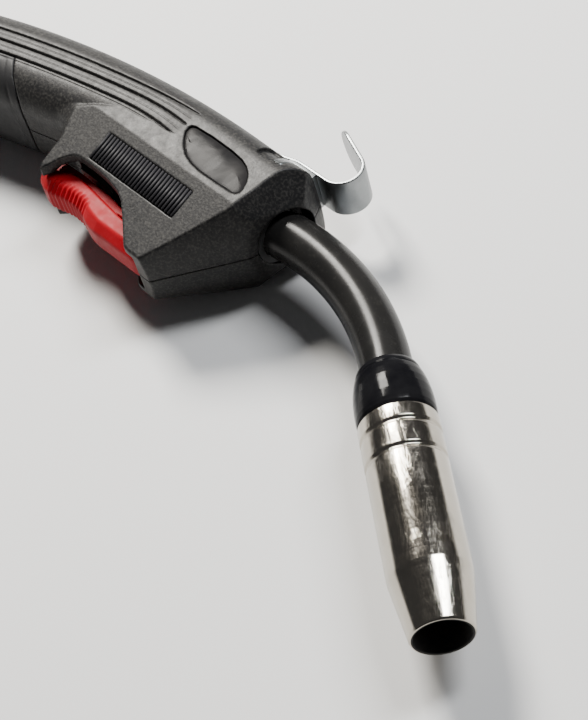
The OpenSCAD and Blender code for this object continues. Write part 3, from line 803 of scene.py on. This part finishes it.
def bent_tube(name, bend, outer, inner):
    """Tube along the bend of the neck, from the nose of the handle through the angle bend."""
    n, seg = 96, 72
    V, Q = [], []
    for i in range(n + 1):
        a = math.pi / 2 + A_IN - bend * i / n
        ca, sa = math.cos(a), math.sin(a)
        for rad in (outer, inner):
            for k in range(seg):
                t = 2 * math.pi * k / seg
                q = BEND_R + rad * math.cos(t)
                V.append((BC[0] + q * ca, BC[1] + q * sa, rad * math.sin(t)))
    ring = 2 * seg
    for k in range(seg):
        k2 = (k + 1) % seg
        for i in range(n):
            for w in (0, seg):
                r0, r1 = i * ring + w, (i + 1) * ring + w
                Q.append((r0 + k, r0 + k2, r1 + k2, r1 + k))
        for i in (0, n):
            Q.append((i * ring + k, i * ring + k2, i * ring + seg + k2, i * ring + seg + k))
    return fix_normals(mesh(name, V, Q))


# the whole bend, and a little way into the insulator
sleeve = bent_tube("neck_sleeve_smooth", math.radians(47.6 + 3.1), 6.0, 4.65)
dress(sleeve, "neck_black", "torch", node="neck_sleeve")

profile = [(6.16, INS0 + 0.1, 0.1), (6.55, INS0, 0.4), (7.0, INS0 + 0.15, 0.6), (7.35, INS0 + 1.0, 0.8),
           (7.5, INS0 + 1.75, 0.2), (7.42, INS0 + 1.95, 0.1), (7.75, INS0 + 2.3, 0.5), (8.2, INS0 + 3.9, 2),
           (8.6, INS0 + 5.9, 2), (8.85, INS0 + 8.0, 2), (8.97, INS0 + 10.4, 2), (8.95, INS0 + 12.6, 1.2),
           (8.8, INS0 + 13.7, 0.8), (8.45, NOZ0, 0.3), (6.4, NOZ0, 0.1), (6.4, NOZ0 + 10, 0.1),
           (5.64, NOZ0 + 10, 0.1), (5.64, 6.4, 0.1), (4.54, 6.4, 0.1), (4.54, 3.9, 0.1), (6.16, 3.9, 0.1)]
insulator = lathe("nozzle_insulator_turned", profile, 4, 128)
insulator.matrix_world = HEAD
dress(insulator, "insulator_black", "torch", node="nozzle_insulator")

profile = [(7.27, NOZ0 + 0.12, 0.2), (8.55, NOZ0 + 0.12, 0.3), (9.0, NOZ0 + 0.55, 0.3)]
for g in (NOZ0 + 3.9, NOZ0 + 10.7):   # two turned grooves
    profile += [(9.0, g, 0.5), (8.62, g + 0.6, 0.5), (8.62, g + 1.0, 0.5), (9.0, g + 1.6, 0.5)]
profile += [(9.0, NOZ1 - 15.2, 1.5), (8.93, NOZ1 - 13.6, 1.5), (6.93, NOZ1 - 0.5, 0.3), (6.62, NOZ1, 0.25),
            (6.02, NOZ1, 0.3), (6.02, NOZ1 - 9, 2), (7.27, NOZ1 - 14, 1)]
nozzle = lathe("gas_nozzle_turned", profile, 5, 144)
nozzle.matrix_world = HEAD
dress(nozzle, "nozzle_nickel", "nozzle", node="gas_nozzle")

# ---------------------------------------------------------------- hanging hook
FOLD = 158.8                          # turn of the fold, degrees
TAIL, TIP = 8.5, 5.4                  # straight tail behind it, and its rounded end


def hook_path():
    """Middle line of the strip: over the nose, round the fold and back along the tail."""
    pts = [(-3.75, 16.1), (0, 16.97), (2.2, 17.6), (3.4, 17.87), (5, HOOK_Y), (9, HOOK_Y), (13.2, HOOK_Y)]
    cx, cy = 13.2, HOOK_Y + HOOK_R
    for k in range(1, 17):
        a = math.radians(-90 + FOLD * k / 16)
        pts.append((cx + HOOK_R * math.cos(a), cy + HOOK_R * math.sin(a)))
    p = np.array(pts[-1])
    d = np.array([math.cos(math.radians(FOLD)), math.sin(math.radians(FOLD))])
    for k in range(1, 6):
        pts.append(tuple(p + TAIL * k / 5 * d))
    for k in range(1, 17):            # closer together towards the rounded tip
        pts.append(tuple(p + (TAIL + TIP * (1 - (1 - k / 16) ** 2)) * d))
    return np.array(pts)


def unit_steps(P):
    T = np.gradient(P, axis=0)
    return T / np.linalg.norm(T, axis=1)[:, None]


def strip(P, half_w, thick, tip, edge=0.22):
    """Flat strip with broken edges along the path P, rounded over its last stretch."""
    T = unit_steps(P)
    N = np.stack([-T[:, 1], T[:, 0]], 1)
    run = np.concatenate([[0], np.cumsum(np.linalg.norm(np.diff(P, axis=0), axis=1))])
    h = thick / 2
    V = []
    for i in range(len(P)):
        w = half_w
        if run[i] > run[-1] - tip:
            u = (run[i] - (run[-1] - tip)) / tip
            w = half_w * math.sqrt(max(1 - u * u, 0.0016))
        for z, n in ((-w + edge, -h), (w - edge, -h), (w, -h + edge), (w, h - edge),
                     (w - edge, h), (-w + edge, h), (-w, h - edge), (-w, -h + edge)):
            V.append((P[i][0] + N[i][0] * n, P[i][1] + N[i][1] * n, z))
    return V, loft(len(P), 8)


def hook_band():
    """Thin band over the nose, following the section of the handle."""
    r0, z0 = R_BACK - TOP_ROUND, HALF_W - TOP_ROUND
    half = []
    for k in range(3, 13):
        a = math.radians(90 * k / 12)
        half.append((r0 + TOP_ROUND * math.sin(a), z0 + TOP_ROUND * math.cos(a)))
    half += [(R_BACK, 4.0), (R_BACK, 0.0)]
    S = np.array(half + [(r, -z) for r, z in half[-2::-1]])
    T = unit_steps(S)
    N = np.stack([T[:, 1], -T[:, 0]], 1)
    N *= np.sign((N * (S - np.array([R_BACK - 10, 0]))).sum(1))[:, None]
    # each ring: angle along the handle and depth, the outer edges broken
    a0, a1 = math.radians(BAND_DEG - 0.17), math.radians(BAND_DEG + 0.17)
    ring = [(a0, 0.16), (a0 + 0.0006, 0.0), (a1 - 0.0006, 0.0), (a1, 0.16), (a1, 1.0), (a0, 1.0)]
    V = []
    for p, n in zip(S, N):
        for a, depth in ring:
            r, z = p - n * depth
            V.append((ARC[0] - r * math.sin(a), ARC[1] + r * math.cos(a), z))
    return V, loft(len(S), len(ring))


def block(x0, x1, y0, y1, z0, z1):
    v = [(x, y, z) for x in (x0, x1) for y in (y0, y1) for z in (z0, z1)]
    return v, [(0, 1, 3, 2), (4, 6, 7, 5), (0, 4, 5, 1), (2, 3, 7, 6), (0, 2, 6, 4), (1, 5, 7, 3)]


bridge_w = HOOK_W / 2 - 0.05
bridge = block(1.3, 10.1, 15.25, HOOK_Y - HOOK_T / 2 + 0.05, -bridge_w, bridge_w)
V, Q = join([strip(hook_path(), HOOK_W / 2, HOOK_T, TIP), hook_band(), bridge])
hook = fix_normals(mesh("hanging_hook_strip", V, Q))
bevel = hook.modifiers.new("edge", "BEVEL")
bevel.width = 0.12 * MM
bevel.segments = 2
bevel.limit_method = "ANGLE"
dress(hook, "hook_zinc", "torch", node="hanging_hook")

# ---------------------------------------------------------------- rear collar
profile = [(7.0, -7), (8.3, -7), (8.3, 0), (10.1, 0), (10.1, 0.42), (12.2, 0.42), (13.0, 1.3)]
for k in range(4):                    # grooves of the grip
    z0 = 2.2 + k * 1.5
    profile += [(13.0, z0), (12.6, z0 + 0.3), (12.6, z0 + 0.6), (13.0, z0 + 0.9)]
profile += [(13.0, 8.6), (12.3, 9.6), (10.6, 10.0), (8.0, 10.0), (7.0, 9.2)]
collar = lathe("rear_collar_ribbed", [(r, z, 0.25) for r, z in profile], 3, 112)
collar.matrix_world = axis_matrix(REAR, math.pi + SWEEP)
dress(collar, "collar_black", "torch", node="rear_collar")

# ---------------------------------------------------------------- carried-over CAD nodes
KEEP = {"trigger_pin": "pin_steel", "microswitch": "switch_body", "switch_plunger": "switch_red",
        "switch_terminals": "brass", "switch_pins": "pin_steel", "neck_block": "brass",
        "adapter_nut": "brass", "neck_tube": "copper", "neck_seal": "seal_black",
        "neck_liner": "liner_steel", "gas_diffuser": "brass", "contact_tip": "copper",
        "nozzle_spring": "liner_steel", "screw_front": "screw_black", "screw_top": "screw_black",
        "screw_rear": "screw_black"}
for node, mat in KEEP.items():
    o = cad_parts[node]
    o.data.materials.clear()
    o.data.materials.append(MATS[mat])

# ---------------------------------------------------------------- stage


def floor_mat():
    m = Mat("floor")
    base = m.ramp(m.noise(3, 3), [(0.3, (0.66, 0.66, 0.66)), (0.7, (0.69, 0.69, 0.69))])
    return m.finish(base, m.ramp(m.noise(5), [(0.3, 0.75), (0.7, 0.85)]), Specular_IOR_Level=0.2)


bpy.ops.mesh.primitive_plane_add(size=6, location=(0, 0, -0.0002))
floor = bpy.context.object
floor.name = "floor"
floor.data.materials.append(floor_mat())


def area(name, loc, target, size, power, color, size_y=None):
    """Soft light aimed at a point; a rectangle where size_y is given."""
    d = bpy.data.lights.new(name, "AREA")
    d.energy = power
    d.size = size
    d.color = color
    if size_y:
        d.shape = "RECTANGLE"
        d.size_y = size_y
    o = bpy.data.objects.new(name, d)
    bpy.context.scene.collection.objects.link(o)
    o.location = loc
    v = Vector(target) - Vector(loc)
    o.rotation_euler = v.to_track_quat("-Z", "Y").to_euler()


AIM = (0.03, -0.01, 0.015)
area("key", (-0.56, 0.22, 0.62), AIM, 0.26, 23.0, (1.0, 0.965, 0.90))
area("top", (0.16, 0.44, 0.72), AIM, 0.16, 8.0, (0.96, 0.98, 1.0), 0.4)

# world: a grey room, brighter at and below the horizon
world = bpy.data.worlds.new("world")
bpy.context.scene.world = world
world.use_nodes = True
nodes, links = world.node_tree.nodes, world.node_tree.links
background = nodes["Background"]
coords = nodes.new("ShaderNodeTexCoord")
split = nodes.new("ShaderNodeSeparateXYZ")
shade = nodes.new("ShaderNodeValToRGB")
links.new(coords.outputs["Generated"], split.inputs[0])
links.new(split.outputs[2], shade.inputs[0])
links.new(shade.outputs[0], background.inputs[0])
stops = shade.color_ramp.elements
stops[0].position, stops[0].color = 0.01, (0.6, 0.6, 0.6, 1)
stops[1].position, stops[1].color = 0.07, (0.07, 0.07, 0.072, 1)
background.inputs[1].default_value = 1.0
